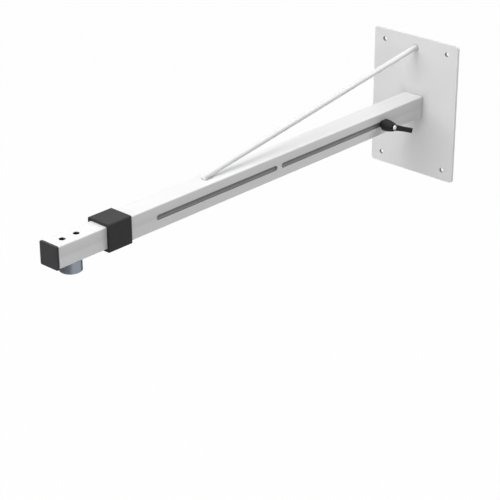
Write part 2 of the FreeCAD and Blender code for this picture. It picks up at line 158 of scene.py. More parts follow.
class FastenerShape(PropertyGroup):
    """Threads, knurls and hexagons."""
    stud_pitch: length("Stud pitch", "Thread pitch of the clamp's stud", 0.0015)
    bolt_pitch: length("Bolt pitch", "Thread pitch of the socket's bolts", 0.0008)
    grub_pitch: length("Grub screw pitch", "Thread pitch of the grub screw", 0.001)
    knurls: IntProperty(name="Knurls", description="Ridges round a bolt's head", default=36,
                        min=12, max=60)
    spring_turns: FloatProperty(name="Spring turns", description="Turns of the lever's spring",
                                default=5.5, min=3.0, max=7.0)


class StudioLook(PropertyGroup):
    """Light, floor and camera."""
    overhead: power("Overhead light", "Power of the broad light above the arm", 61.3)
    high_front: power("High front light", "Power of the high light over the outer end", 28.8)
    front: power("Front light", "Power of the light before the plate", 34.6)
    fill: power("Fill light", "Power of the light on the right of the outer end", 12.2)
    side: power("Side light", "Power of the light on the right, behind the plate", 27.0)
    surround: share("Surround", "Strength of the light from all round", 0.0)
    floor_drop: length("Floor drop", "Distance from the plate down to the floor", 0.6, 3.0)
    place: FloatVectorProperty(name="Camera place", description="Where the camera stands", size=3,
                               default=(2.13752, -2.84902, 1.29585), unit="LENGTH",
                               subtype="TRANSLATION")
    turn: FloatVectorProperty(name="Camera turn", description="Which way the camera looks", size=3,
                              default=(1.133125, 0.003140, 0.746787), subtype="EULER")
    lens: FloatProperty(name="Lens", description="Focal length on a 36 mm frame",
                        default=120.319, min=10.0, unit="CAMERA")


LOOKS = {
    "arm_coat": CoatLook,
    "arm_plastic": PlasticLook,
    "arm_steel": SteelLook,
    "arm_welds": WeldShape,
    "arm_fasteners": FastenerShape,
    "arm_studio": StudioLook,
}


# Finishes

class Signal:
    """One output of a node. Sums and products of signals add the Math nodes for them."""

    def __init__(self, sheet, socket):
        self.sheet = sheet
        self.socket = socket

    def math(self, operation, *values):
        """Signal from a Math node on the values given."""
        return self.sheet.node("Math", {"operation": operation}, dict(enumerate(values)))

    def __add__(self, other):
        return self.math("ADD", self, other)

    def __radd__(self, other):
        return self.math("ADD", other, self)

    def __sub__(self, other):
        return self.math("SUBTRACT", self, other)

    def __rsub__(self, other):
        return self.math("SUBTRACT", other, self)

    def __mul__(self, other):
        return self.math("MULTIPLY", self, other)

    def __rmul__(self, other):
        return self.math("MULTIPLY", other, self)

    def __pow__(self, other):
        return self.math("POWER", self, other)

    def __abs__(self):
        return self.math("ABSOLUTE", self)

    def larger(self, other):
        """The larger of this signal and another, or a number."""
        return self.math("MAXIMUM", self, other)


class Sheet:
    """Node tree of a finish or of the world, with short ways to add nodes to it."""

    def __init__(self, owner):
        owner.use_nodes = True
        self.owner = owner
        self.tree = owner.node_tree
        self.tree.nodes.clear()

    def node(self, kind, settings, values, output=0):
        """Adds a shader node: its settings first, then a value or a link for each socket named."""
        made = self.tree.nodes.new("ShaderNode" + kind)
        for name, value in settings.items():
            setattr(made, name, value)
        for name, value in values.items():
            socket = made.inputs[name]
            if isinstance(value, Signal):
                self.tree.links.new(value.socket, socket)
            elif socket.type == "RGBA":
                socket.default_value = (*value, 1.0)
            else:
                socket.default_value = value
        return Signal(self, made.outputs[output]) if made.outputs else None

    def place(self):
        """Place on the piece, in metres."""
        return self.node("TexCoord", {}, {}, "Object")

    def axes(self):
        """The three coordinates of the place."""
        place = self.place()
        return [self.node("SeparateXYZ", {}, {0: place}, axis) for axis in range(3)]

    def stretched(self, x, y, z):
        """Place with each axis multiplied, so that marks run long where the number is small."""
        return self.node("VectorMath", {"operation": "MULTIPLY"}, {0: self.place(), 1: (x, y, z)})

    def noise(self, size, detail=2.0, at=None):
        """Soft noise from 0 to 1 whose spots are about the size given."""
        at = at or self.place()
        return self.node("TexNoise", {}, {"Vector": at, "Scale": 1 / size, "Detail": detail})

    def noise_along(self, value, size):
        """Noise that changes with one value only."""
        return self.node("TexNoise", {"noise_dimensions": "1D"},
                         {"W": value, "Scale": 1 / size, "Detail": 3.0})

    def pits(self, size):
        """Distance from the nearest of many scattered points, for a pitted grain."""
        return self.node("TexVoronoi", {"feature": "SMOOTH_F1"},
                         {"Vector": self.place(), "Scale": 1 / size})

    def mask(self, value, low, high):
        """0 below low, 1 above high, and a smooth way between."""
        return self.node("MapRange", {"interpolation_type": "SMOOTHSTEP"},
                         {"Value": value, "From Min": low, "From Max": high})

    def mix(self, mask, first, second):
        """Colour between two colours."""
        return self.node("Mix", {"data_type": "RGBA"}, {0: mask, 6: first, 7: second}, 2)

    def bump(self, height, depth, under=None):
        """Normal of a relief as deep as depth where height goes from 0 to 1."""
        values = {"Height": height, "Distance": depth, "Strength": 1.0}
        if under:
            values["Normal"] = under
        return self.node("Bump", {}, values)

    def surface(self, values):
        """The sheet's material, with a Principled shader of the values given."""
        shader = self.node("BsdfPrincipled", {}, values)
        self.node("OutputMaterial", {}, {"Surface": shader})
        return self.owner


def finish(name, paint):
    """Material of that name, made once by the function given."""
    found = bpy.data.materials.get(name)
    return found or paint(Sheet(bpy.data.materials.new(name)))


def shade(base, factor):
    """A colour made lighter or darker by a factor."""
    return tuple(min(1.0, channel * factor) for channel in base)


def tinted(base, red, green, blue):
    """A colour with each channel multiplied on its own."""
    return (base[0] * red, base[1] * green, base[2] * blue)


def apart(first, second):
    """Distance over two lengths at right angles."""
    return (first * first + second * second) ** 0.5


def clouded(sheet, look, tone):
    """White of the coat, a little greyer where tone is 0."""
    return sheet.mix(tone, shade(look.white, 1 - look.cloudiness), look.white)


def coat_nodes(sheet, look, bare=None):
    """Nodes of the powder coat, dark grey where bare is 1: thinner coat and painted shade."""
    speckle = sheet.noise(0.0007, 1.0)
    peel = sheet.noise(look.peel_width, 2.0)
    coat = clouded(sheet, look, 0.75 * sheet.noise(0.06, 3.0) + 0.25 * speckle)
    if bare:
        coat = sheet.mix(bare, coat, look.thin_coat_and_shade)
    return sheet.surface({
        "Base Color": coat,
        "Roughness": look.roughness - 0.05 + 0.1 * sheet.noise(0.009, 3.0),
        "Normal": sheet.bump(speckle, look.peel_depth / 4, sheet.bump(peel, look.peel_depth)),
        "Specular IOR Level": COAT_SPECULAR,
    })


def powder_coat(look):
    """Satin white powder coat: soft peel, faint clouds and a fine speckle."""
    return finish("white powder coat", lambda sheet: coat_nodes(sheet, look))


def drilled_coat(look, hole_place, tube_side):
    """The same coat on the plate, dark inside the four wall holes (thinner coat and painted shade), and
    with painted shadow on the front in the corner round the outer tube."""
    hole_wall, hole_edge = 0.00495, 0.0053
    corner_reach, corner_shade_share = 0.03, 0.16

    def paint(sheet):
        x, y, z = sheet.axes()
        # Painted shadow: the plate's front greyed near the outer tube, where the tube meets the plate.
        near = 1 - sheet.mask(abs(x).larger(abs(z)) - tube_side, 0.0, corner_reach)
        corner = near * (1 - sheet.mask(y, -0.005, -0.003))
        # Painted shade inside the four wall holes.
        from_axis = apart(abs(x) - hole_place[0], abs(z) - hole_place[1])
        hole = 1 - sheet.mask(from_axis, hole_wall, hole_edge)
        return coat_nodes(sheet, look, hole.larger(corner_shade_share * corner * corner))
    return finish("white powder coat on the plate", paint)


def inside(x, z, reach):
    """1 on the inner faces of a square tube, where hardly any coat gets to; they take painted shade."""
    return 1 - x.sheet.mask(abs(x).larger(abs(z)), reach + 0.0001, reach + 0.0003)


def side_shade(x, z, side):
    """Painted shade: a faint darker band along a tube's right side, deepest a little above its middle."""
    below, deepest, above, strength = -0.005, 0.002, 0.024, 0.08
    on_side = x.sheet.mask(x, side - 0.001, side - 0.0005)
    return strength * (on_side * x.sheet.mask(z, below, deepest)
                       * (1 - x.sheet.mask(z, deepest, above)))


def slotted_coat(look, side, half):
    """The same coat on the outer tube, dark grey on the cut faces of its slots (thinner coat and painted
    shade), and a little greyer on the sides towards the weld at the plate, as painted shade."""
    cut_shade_share, inside_shade_share, root_shade_share = 0.7, 0.8, 0.1
    root_start, root_end = -0.06, -0.006

    def paint(sheet):
        x, y, z = sheet.axes()
        within = 1 - sheet.mask(abs(z), half, half + 0.0002)
        wall = (sheet.mask(x, side - 0.0019, side - 0.0017)
                * (1 - sheet.mask(x, side - 0.0002, side - 0.0001)))
        below_top = 1 - sheet.mask(z, side - 0.003, side - 0.001)
        root = sheet.mask(y, root_start, root_end) * below_top
        # Painted shade on the slots' cut faces, the inner faces, the sides near the plate and along the right
        # side.
        return coat_nodes(sheet, look, cut_shade_share * within * wall
                          + inside_shade_share * inside(x, z, side - TUBE_WALL)
                          + root_shade_share * root + side_shade(x, z, side))
    return finish("white powder coat on the outer tube", paint)


def seam_coat(look, name, seam_shade_share):
    """The same coat on a weld bead, greyed all over by a share and some noise: painted shade for the corner it
    fills.
    """
    def paint(sheet):
        return coat_nodes(sheet, look, seam_shade_share + 0.2 * sheet.noise(0.004, 3.0))
    return finish("white powder coat on " + name, paint)


def round_holes(x, y, centres, radius):
    """1 within the radius of the upright axes that go through the places given."""
    found = None
    for across, along in centres:
        hole = 1 - x.sheet.mask(apart(x - across, y - along), radius, radius + 0.0002)
        found = hole if found is None else found.larger(hole)
    return found


def rubbed_coat(look, side, track_end, holes):
    """The same coat on the sliding tube: faint polished streaks along it, and a band of painted shade
    where the outer tube's slots run over its right side, darker above, which fades past its outer end."""
    track_half, track_edge, inner_fade, outer_fade = 0.0072, 0.0165, 0.08, 0.015
    cut_shade_share = 0.85

    def paint(sheet):
        x, y, z = sheet.axes()
        streak = sheet.mask(sheet.noise(0.0012, 3.0, sheet.stretched(1.0, 0.012, 1.0)), 0.5, 0.75)
        peel = sheet.noise(look.peel_width, 2.0)
        shade_edge_noise = sheet.noise(0.006, 4.0, sheet.stretched(1.0, 0.25, 1.0))
        shade_end_noise = sheet.noise(0.0018, 4.0, sheet.stretched(1.0, 0.03, 1.0))
        # Painted shade: the band behind the outer tube's slots, with ragged edges and a fading end.
        track = (sheet.mask(x, side - 0.0006, side - 0.0003)
                 * (1 - sheet.mask(abs(z) + 0.004 * shade_edge_noise, track_half, track_edge))
                 * sheet.mask(y + 0.03 * shade_end_noise, track_end - inner_fade, track_end + outer_fade))
        # Painted shadow of the slots' upper edges: the band darker in its upper part, lighter below.
        slot_shade = sheet.mix(sheet.mask(z, -0.0035, 0.001),
                           shade(look.slot_shade, 1.25), shade(look.slot_shade, 0.62))
        # Painted shade inside the access holes and the tube, and along the right side.
        below_top = 1 - sheet.mask(z, side - 0.0002, side - 0.0001)
        cut = round_holes(x, y, holes, ACCESS_HOLE_RADIUS) * below_top
        bare = cut_shade_share * cut.larger(inside(x, z, side - TUBE_WALL)) + side_shade(x, z, side)
        coat = clouded(sheet, look, 0.7 * sheet.noise(0.06, 3.0) + 0.3 * (1 - streak))
        coat = sheet.mix(bare, coat, look.thin_coat_and_shade)
        return sheet.surface({
            "Base Color": sheet.mix(track * (0.76 + 0.14 * shade_edge_noise + 0.22 * shade_end_noise), coat, slot_shade),
            "Roughness": look.roughness + 0.08 * sheet.noise(0.009, 3.0) - 0.12 * streak,
            "Normal": sheet.bump(peel * (1 - 0.6 * streak), look.peel_depth),
            "Specular IOR Level": COAT_SPECULAR,
        })
    return finish("rubbed white powder coat", paint)


def moulded_plastic(look, name, tint):
    """Black plastic with the pitted grain of its mould and a slight change of sheen."""
    def paint(sheet):
        grain = sheet.pits(look.grain_width)
        fine = sheet.noise(look.grain_width / 2, 2.0)
        flow = sheet.noise(0.02, 3.0)
        return sheet.surface({
            "Base Color": sheet.mix(0.6 * flow + 0.4 * grain, shade(look.black, 0.5 * tint),
                                    shade(look.black, 0.95 * tint)),
            "Roughness": look.roughness - 0.06 + 0.12 * flow,
            "Normal": sheet.bump(0.7 * grain + 0.3 * fine, look.grain_depth),
            "Specular IOR Level": 0.2,
        })
    return finish(name, paint)


def lever_coat(look):
    """Black textured coat on the die-cast lever, a little duller in its hollows."""
    def paint(sheet):
        crinkle = sheet.noise(0.0005, 4.0)
        orange = sheet.noise(0.0016, 2.0)
        return sheet.surface({
            "Base Color": sheet.mix(crinkle, shade(look.lever, 0.25), shade(look.lever, 0.7)),
            "Roughness": 0.42 + 0.2 * crinkle,
            "Normal": sheet.bump(0.6 * crinkle + 0.4 * orange, 0.00003),
            "Specular IOR Level": 0.16,
        })
    return finish("black lever coat", paint)


def turned_steel(look, centre):
    """Turned and plated steel: marks in rings round the socket's axis, and a bluish cast."""
    blue, light = tinted(look.turned, 0.92, 1.0, 1.06), tinted(look.turned, 0.96, 1.03, 1.0)

    def paint(sheet):
        x, y, z = sheet.axes()
        from_axis = apart(x - centre.x, y - centre.y) + 1.37 * z
        marks = sheet.noise_along(from_axis, look.ring_width)
        broad = sheet.noise_along(from_axis, look.ring_width * 12)
        stain = sheet.noise(0.012, 3.0)
        tone = 0.45 * marks + 0.3 * broad + 0.25 * stain
        return sheet.surface({
            "Base Color": sheet.mix(tone, shade(blue, 0.58), shade(light, 1.4)),
            "Metallic": 1.0,
            "Roughness": 0.16 + 0.16 * marks + 0.06 * stain,
            "Normal": sheet.bump(marks, 0.000015),
        })
    return finish("turned plated steel", paint)


def zinc_plate(look):
    """Bright zinc plate with a fine spangle."""
    def paint(sheet):
        spangle = sheet.noise(0.0015, 3.0)
        fine = sheet.noise(0.0003, 2.0)
        return sheet.surface({
            "Base Color": sheet.mix(spangle, shade(look.zinc, 0.8), shade(look.zinc, 1.1)),
            "Metallic": 1.0,
            "Roughness": 0.26 + 0.16 * spangle,
            "Normal": sheet.bump(0.5 * spangle + 0.5 * fine, 0.000008),
        })
    return finish("zinc plate", paint)


def black_oxide(look):
    """Oiled black oxide on steel, browner and duller in patches."""
    def paint(sheet):
        patch = sheet.noise(0.004, 4.0)
        fine = sheet.noise(0.0004, 2.0)
        return sheet.surface({
            "Base Color": sheet.mix(patch, shade(look.oxide, 0.8),
                                    tinted(look.oxide, 1.25, 1.1, 1.0)),
            "Metallic": 0.75,
            "Roughness": 0.32 + 0.22 * patch,
            "Normal": sheet.bump(fine, 0.00001),
        })
    return finish("black oxide", paint)


def plain_steel(look):
    """Bare drawn steel with fine lines and darker oiled spots."""
    def paint(sheet):
        lines = sheet.noise(0.0005, 3.0, sheet.stretched(0.08, 1.0, 1.0))
        spots = sheet.mask(sheet.noise(0.005, 4.0), 0.45, 0.7)
        return sheet.surface({
            "Base Color": sheet.mix(spots, shade(look.plain, 1.15), shade(look.plain, 0.6)),
            "Metallic": 1.0,
            "Roughness": 0.3 + 0.15 * lines + 0.1 * spots,
            "Normal": sheet.bump(lines, 0.00001),
        })
    return finish("plain steel", paint)


def spring_wire(look):
    """Drawn spring wire, heat-darkened in patches."""
    def paint(sheet):
        heat = sheet.noise(0.003, 2.0)
        fine = sheet.noise(0.0002, 3.0)
        return sheet.surface({
            "Base Color": sheet.mix(heat, shade(look.spring, 0.7), shade(look.spring, 1.1)),
            "Metallic": 1.0,
            "Roughness": 0.28 + 0.14 * fine,
            "Normal": sheet.bump(fine, 0.000006),
        })
    return finish("spring wire", paint)


# CAD nodes and new pieces

def joined_faces():
    """Node group that joins a CAD node's split corners and lets its faces shade as one."""
    same_place = 1e-6
    found = bpy.data.node_groups.get("joined faces")
    if found:
        return found
    group = bpy.data.node_groups.new("joined faces", "GeometryNodeTree")
    for way in ("INPUT", "OUTPUT"):
        group.interface.new_socket("Geometry", in_out=way, socket_type="NodeSocketGeometry")
    chain = [group.nodes.new(kind) for kind in (
        "NodeGroupInput", "GeometryNodeSetMeshNormal", "GeometryNodeMergeByDistance",
        "GeometryNodeSetShadeSmooth", "NodeGroupOutput")]
    chain[1].inputs["Remove Custom"].default_value = True
    chain[2].inputs["Distance"].default_value = same_place
    chain[3].inputs["Shade Smooth"].default_value = True
    for before, after in zip(chain, chain[1:]):
        group.links.new(before.outputs[0], after.inputs[0])
    return group


def dress(node, material, edge=0.0003):
    """Gives a CAD node its finish, and softens its edges with modifiers alone unless edge is 0."""
    same_face, sharp = 0.004, 0.61
    part = frame["nodes"][node]
    for slot in part.material_slots:
        slot.material = material
    if not edge:
        return
    joined = part.modifiers.new("joined faces", "NODES")
    joined.node_group = joined_faces()
    flat = part.modifiers.new("flat faces in one", "DECIMATE")
    flat.decimate_type = "DISSOLVE"
    flat.angle_limit = same_face
    soft = part.modifiers.new("soft edges", "BEVEL")
    soft.width = edge
    soft.segments = 2
    soft.limit_method = "ANGLE"
    soft.angle_limit = sharp
    part.modifiers.new("even shading", "WEIGHTED_NORMAL").weight = 90


def skin(form, rings, closed=False):
    """Faces between successive rings of points, and from the last to the first if closed."""
    pairs = list(zip(rings, rings[1:]))
    if closed:
        pairs.append((rings[-1], rings[0]))
    for near, far in pairs:
        for step in range(len(near)):
            after = (step + 1) % len(near)
            form.faces.new((near[step], near[after], far[after], far[step]))


def capped(form, rings):
    """Rings joined into a closed body with a flat face at each end."""
    skin(form, rings)
    form.faces.new(rings[0][::-1])
    form.faces.new(rings[-1])


def in_scene(name, data):
    """New object in the scene for a mesh, a lamp or a camera."""
    made = bpy.data.objects.new(name, data)
    bpy.context.scene.collection.objects.link(made)
    return made


def mesh_object(name, form, material):
    """Object with one material from a bmesh, which is used up."""
    mesh = bpy.data.meshes.new(name)
    form.to_mesh(mesh)
    form.free()
    mesh.materials.append(material)
    return in_scene(name, mesh)


def new_piece(name, form, body, slot, material, *nodes, crease=0.6):
    """Object from a bmesh, riding on a body and standing for CAD nodes."""
    bmesh.ops.recalc_face_normals(form, faces=form.faces)
    made = mesh_object(name, form, material)
    made.data.polygons.foreach_set("use_smooth", [True] * len(made.data.polygons))
    made.data.set_sharp_from_angle(angle=crease)
    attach(made, body)
    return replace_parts(made, *nodes)


def turned_form(stations, around, place):
    """Closed form of rings round Z. A station is a level and a radius, or a radius by angle."""
    form = bmesh.new()
    rings = []
    for level, radius in stations:
        ring = []
        for step in range(around):
            angle = math.tau * step / around
            reach = radius(angle) if callable(radius) else radius
            point = Vector((reach * math.cos(angle), reach * math.sin(angle), level))
            ring.append(form.verts.new(place @ point))
        rings.append(ring)
    capped(form, rings)
    return form


def thread(start, end, radius, pitch, steps=8):
    """Stations of an outside thread that runs out at both ends."""
    depth, crest, flank = 0.6134 * pitch, 0.125, 0.625

    def groove(level):
        fade = min(1.0, (level - start) / pitch, (end - level) / pitch)

        def reach(angle):
            turn = (level / pitch - angle / math.tau) % 1.0
            slope = min(1.0, max(0.0, (abs(2 * turn - 1) - crest) / flank))
            return radius - depth * slope * max(0.0, fade)
        return reach
    count = max(2, round((end - start) / pitch * steps))
    levels = [start + (end - start) * step / count for step in range(count + 1)]
    return [(level, groove(level)) for level in levels]


def hexagon(across_flats):
    """Radius by angle of a hexagon."""
    half_side = math.pi / 6
    return lambda angle: (across_flats / 2
                          / math.cos((angle + half_side) % (math.pi / 3) - half_side))


def ripple_at(along, across, height):
    """Height of a weld's ripples: crescents that overlap along the bead."""
    bend = 0.45
    phase = (along + bend * (2 * across - 1) ** 2) % 1.0
    return height * (1 - (2 * phase - 1) ** 2) * 4 * across * (1 - across)


def fillet(leg, shape, ripples, steps=9):
    """Points of a bead's section, from its toe on the base to its toe on the wall."""
    points = []
    for step in range(steps + 1):
        way = step / steps
        swell = shape.crown * 4 * way * (1 - way) + ripple_at(ripples, way, shape.ripple_height)
        lift = swell * math.sqrt(0.5)
        points.append((leg * (1 - way) + lift, leg * way + lift))
    return points


def rooted(section, leg, into):
    """A bead's section, closed by a hidden side that lies in the wall and the base."""
    bed = 0.0002
    return section + [(-into, leg * 0.8), (-into, -bed), (leg * 0.8, -bed)]


def round_square(half, radius, gap):
    """Points and outward directions round a square with round corners, about a gap apart."""
    flat = half - radius
    straight = max(2, round(2 * flat / gap))
    arc = max(2, round(math.pi / 2 * radius / gap))
    found = []
    for corner in range(4):
        turn = math.pi / 2 * corner
        out = Vector((math.cos(turn), math.sin(turn)))
        aside = Vector((-math.sin(turn), math.cos(turn)))
        for step in range(straight):
            found.append((out * half + aside * (flat * (2 * step / straight - 1)), out))
        for step in range(arc):
            angle = math.pi / 2 * step / arc
            way = out * math.cos(angle) + aside * math.sin(angle)
            found.append((out * flat + aside * flat + way * radius, way))
    return found


def root_bead(shape):
    """Fillet bead all round the outer tube on the plate."""
    low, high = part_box("root_weld")
    leg = high.y - low.y
    half = high.x - leg
    form = bmesh.new()
    loop = round_square(half, TUBE_CORNER_RADIUS, gap=0.00045)
    ripples = round(8 * half / shape.ripple)
    rings = []
    for step, (point, way) in enumerate(loop):
        section = rooted(fillet(leg, shape, ripples * step / len(loop)), leg, 0.0003)
        rings.append([form.verts.new((point.x + way.x * out, high.y - rise, point.y + way.y * out))
                      for out, rise in section])
    skin(form, rings, closed=True)
    return form


def rod_line():
    """The tie rod's axis: its foot over the tube, its head on the plate and its direction."""
    tube_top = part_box("outer_tube")[1].z
    plate_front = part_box("wall_plate")[0].y
    foot = Vector((0, -ROD_FOOT_DISTANCE, tube_top + ROD_FOOT_RISE))
    head = Vector((0, plate_front, ROD_PLATE_HEIGHT))
    return foot, head, (head - foot).normalized()


def rod_form():
    """Round bar, its foot cut square with a broken edge and its head let into the plate's face."""
    foot, head, along = rod_line()
    size, parts = (head - foot).length, 40
    place = Matrix.Translation(foot) @ along.to_track_quat("Z", "Y").to_matrix().to_4x4()
    stations = [(0.0, ROD_RADIUS - 0.0004), (0.0001, ROD_RADIUS - 0.0001), (0.0004, ROD_RADIUS)]
    stations += [(size * step / parts, ROD_RADIUS) for step in range(1, parts)]
    return turned_form(stations + [(size, ROD_RADIUS)], 64, place)


def head_bead(shape):
    """Ring of weld round the tie rod on the plate."""
    _, head, along = rod_line()
    side, up = Vector((1, 0, 0)), Vector((1, 0, 0)).cross(along)
    around, slanted = 132, 1.3
    ripples = round(math.tau * ROD_RADIUS / shape.ripple * slanted)
    form = bmesh.new()
    rings = []
    for step in range(around):
        angle = math.tau * step / around
        way = side * math.cos(angle) + up * math.sin(angle)
        ring = []
        section = fillet(ROD_WELD_LEG, shape, ripples * step / around)
        for out, rise in rooted(section, ROD_WELD_LEG, 0.0004):
            point = head + way * (ROD_RADIUS + out)
            ring.append(form.verts.new(point + along * ((head.y - rise - point.y) / along.y)))
        rings.append(ring)
    skin(form, rings, closed=True)
    return form


def foot_bead(shape):
    """Beads on both sides of the tie rod's foot, joined under it where it lifts off the tube."""
    foot, _, along = rod_line()
    floor = foot.z - ROD_FOOT_RISE
    bead, top, width, steps, across = 0.022, 0.0028, 0.0029, 64, 8
    form = bmesh.new()
    rings = []
    for step in range(steps + 1):
        way = step / steps
        y = foot.y + bead * way
        ends = min(1.0, math.sqrt(min(way, 1 - way) * bead / 0.0016 + 0.03))
        middle = foot.z + (y - foot.y) * along.z / along.y
        rise = max(0.0004, top * ends)
        drop = (floor + rise - middle) / ROD_RADIUS
        inner = ROD_RADIUS * math.sqrt(max(0.05, 1 - drop * drop)) - 0.0002
        outer = inner + width * ends
        right = []
        for count in range(across + 1):
            part = count / across
            swell = (shape.crown * 4 * part * (1 - part)
                     + ripple_at(bead * way / shape.ripple, part, shape.ripple_height)) * ends * 0.7
            right.append((outer + (inner - outer) * part + swell, rise * part + swell))
        ring = [(x, floor + z) for x, z in right]
        ring += [(-x, floor + z) for x, z in reversed(right)]
        ring += [(-outer * 0.8, floor - 0.0002), (outer * 0.8, floor - 0.0002)]
        rings.append([form.verts.new((x, y, z)) for x, z in ring])
    capped(form, rings)
    return form


def clamp_place(turn=0.0):
    """Turns a form made on Z onto the clamp's axis, with level 0 on the outer tube's side."""
    low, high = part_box("clamp_screw")
    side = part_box("outer_tube")[1].x
    lay = Matrix(((0, 0, 1, side), (1, 0, 0, (low.y + high.y) / 2), (0, 1, 0, 0), (0, 0, 0, 1)))
    return lay @ Matrix.Rotation(turn, 4, "Z")


def stud_form(shape):
    """Threaded stud with its round foot, toothed ring and neck, tapped at its end."""
    low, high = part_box("clamp_screw")
    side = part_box("outer_tube")[1].x
    inner, outer = low.x - side, high.x - side
    washer, foot_top, tooth_top = 0.0015, 0.0065, 0.0095
    foot, neck, tip, root = 0.00775, 0.00665, 0.00745, 0.00665
    shank, core, bore, bore_depth = 0.005, 0.0044, 0.00205, 0.0085

    def teeth(angle):
        """Radius of the toothed ring, with straight flanks."""
        step = angle / math.pi * RING_TEETH
        first, second = (tip, root) if step % 2 < 1 else (root, tip)
        span, part = math.pi / RING_TEETH, step % 1
        start = Vector((first, 0))
        edge = Vector((second * math.cos(span), second * math.sin(span))) - start
        ray = Vector((math.cos(part * span), math.sin(part * span)))
        return (start.x * edge.y - start.y * edge.x) / (ray.x * edge.y - ray.y * edge.x)

    def eased(angle):
        """Radius of the teeth's broken ends."""
        return min(teeth(angle), neck + 0.00045)

    stations = [(inner, 0.0012), (inner, 0.0036), (inner + 0.0009, 0.0045)]
    stations += thread(inner + 0.0009, washer - 0.0011, shank, shape.stud_pitch)
    stations += [
        (washer - 0.0006, core), (washer, core), (washer, foot - 0.0007),
        (washer + 0.0002, foot - 0.0002), (washer + 0.0007, foot),
        (foot_top - 0.0006, foot), (foot_top - 0.0001, foot - 0.0002), (foot_top, foot - 0.0003),
        (foot_top, teeth), (tooth_top - 0.0004, teeth), (tooth_top, eased), (tooth_top, neck),
        (outer - 0.0005, neck), (outer, neck - 0.0005), (outer, bore + 0.00035),
        (outer - 0.0004, bore), (outer - bore_depth, bore), (outer - bore_depth - 0.0003, 0.0006),
    ]
    return turned_form(stations, 160, clamp_place(-LEVER_ANGLE))


def bolt_form(shape, place):
    """Socket-head bolt: knurled head with a hexagon recess, and a threaded shank below."""
    head, top, radius, end = BOLT_HEAD_RADIUS, 0.005, 0.0025, -0.013
    groove, key = 0.00018, hexagon(0.004)

    def knurl(angle):
        """Radius of the head's knurled side."""
        return head - groove * (1 - abs(math.sin(angle * shape.knurls / 2)))

    stations = [(0.002, 0.0003), (0.0023, key), (0.0046, key), (top, 0.00262),
                (top, head - 0.0006), (0.0046, head - groove), (0.0044, knurl), (0.0006, knurl),
                (0.0003, head - groove), (0.0, head - 0.0004), (0.0, radius), (-0.0016, radius)]
    shank = thread(-0.0126, -0.0018, radius, shape.bolt_pitch, 6)
    stations += shank[::-1] + [(end, 0.0021), (end, 0.0004)]
    return turned_form(stations, 144, place)


def grub_form(shape):
    """Headless screw with a hexagon recess outside and a cup point inside."""
    low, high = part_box("socket_grub_screw")
    middle = (low + high) / 2
    size, radius, key = high.x - low.x, 0.003, hexagon(0.003)
    place = Matrix.Translation((high.x, middle.y, middle.z)) @ Matrix.Rotation(-math.pi / 2, 4, "Y")
    stations = [(0.0006, 0.0003), (0.0, 0.0013), (0.0, 0.0019), (0.0008, 0.0026)]
    stations += thread(0.0009, size - 0.0004, radius, shape.grub_pitch, 8)
    stations += [(size, 0.0024), (size, 0.0018), (size - 0.0002, key), (size - 0.003, key),
                 (size - 0.0034, 0.0003)]
    return turned_form(stations, 72, place)


def spring_form(shape):
    """Compression spring with closed ends ground flat, in the lever's recess."""
    low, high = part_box("lever_spring")
    room, wire, mean, dead = high.x - low.x, 0.0005, 0.0045, 0.9
    place = clamp_place() @ Matrix.Translation((0, 0, low.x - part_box("outer_tube")[1].x))
    per_turn, around = 44, 14
    turns = shape.spring_turns
    count = round(turns * per_turn)
    closed = 2 * wire * 0.98
    open_pitch = (room - 1.5 * wire - 2 * dead * closed) / (turns - 2 * dead)
    form = bmesh.new()
    rings = []
    for step in range(count + 1):
        turn = turns * step / count
        level = (0.75 * wire + min(turn, dead) * closed
                 + min(max(turn - dead, 0), turns - 2 * dead) * open_pitch
                 + max(turn - turns + dead, 0) * closed)
        angle = math.tau * turn
        out = Vector((math.cos(angle), math.sin(angle), 0))
        ring = []
        for part in range(around):
            tilt = math.tau * part / around
            point = out * (mean + wire * math.cos(tilt))
            point.z = min(max(level + wire * math.sin(tilt), 0.0), room)
            ring.append(form.verts.new(place @ point))
        rings.append(ring)
    capped(form, rings)
    return form


# Studio

# Each lamp's name, which its power in the look has too, its place and its width
LAMPS = (
    ("overhead", (-0.4, -0.5, 2.8), 3.0),
    ("high_front", (0.2, -2.6, 2.8), 2.0),
    ("front", (-0.9, -3.2, 1.2), 2.0),
    ("fill", (1.7, -2.6, 0.6), 1.2),
    ("side", (1.3, 1.3, 1.4), 1.5),
)
LAMP_TARGET = Vector((0.0, -0.5, 0.0))
FILM_WIDTH = 36.0  # millimetres, as is the lens
FLOOR_REACH = 15


def background_seen(sheet):
    """1 where the camera, a gloss or a glass looks at the surround, 0 for other light."""
    camera, gloss, glass = [sheet.node("LightPath", {}, {}, name) for name in
                            ("Is Camera Ray", "Is Glossy Ray", "Is Transmission Ray")]
    return camera.larger(gloss.larger(glass))


def lit_world(scene, look):
    """White surround, of which only the share set in the look lights the arm."""
    scene.world = bpy.data.worlds.new("white surround")
    sheet = Sheet(scene.world)
    strength = look.surround + (1 - look.surround) * background_seen(sheet)
    light = sheet.node("Background", {}, {"Color": PLAIN_WHITE, "Strength": strength})
    sheet.node("OutputWorld", {}, {"Surface": light})


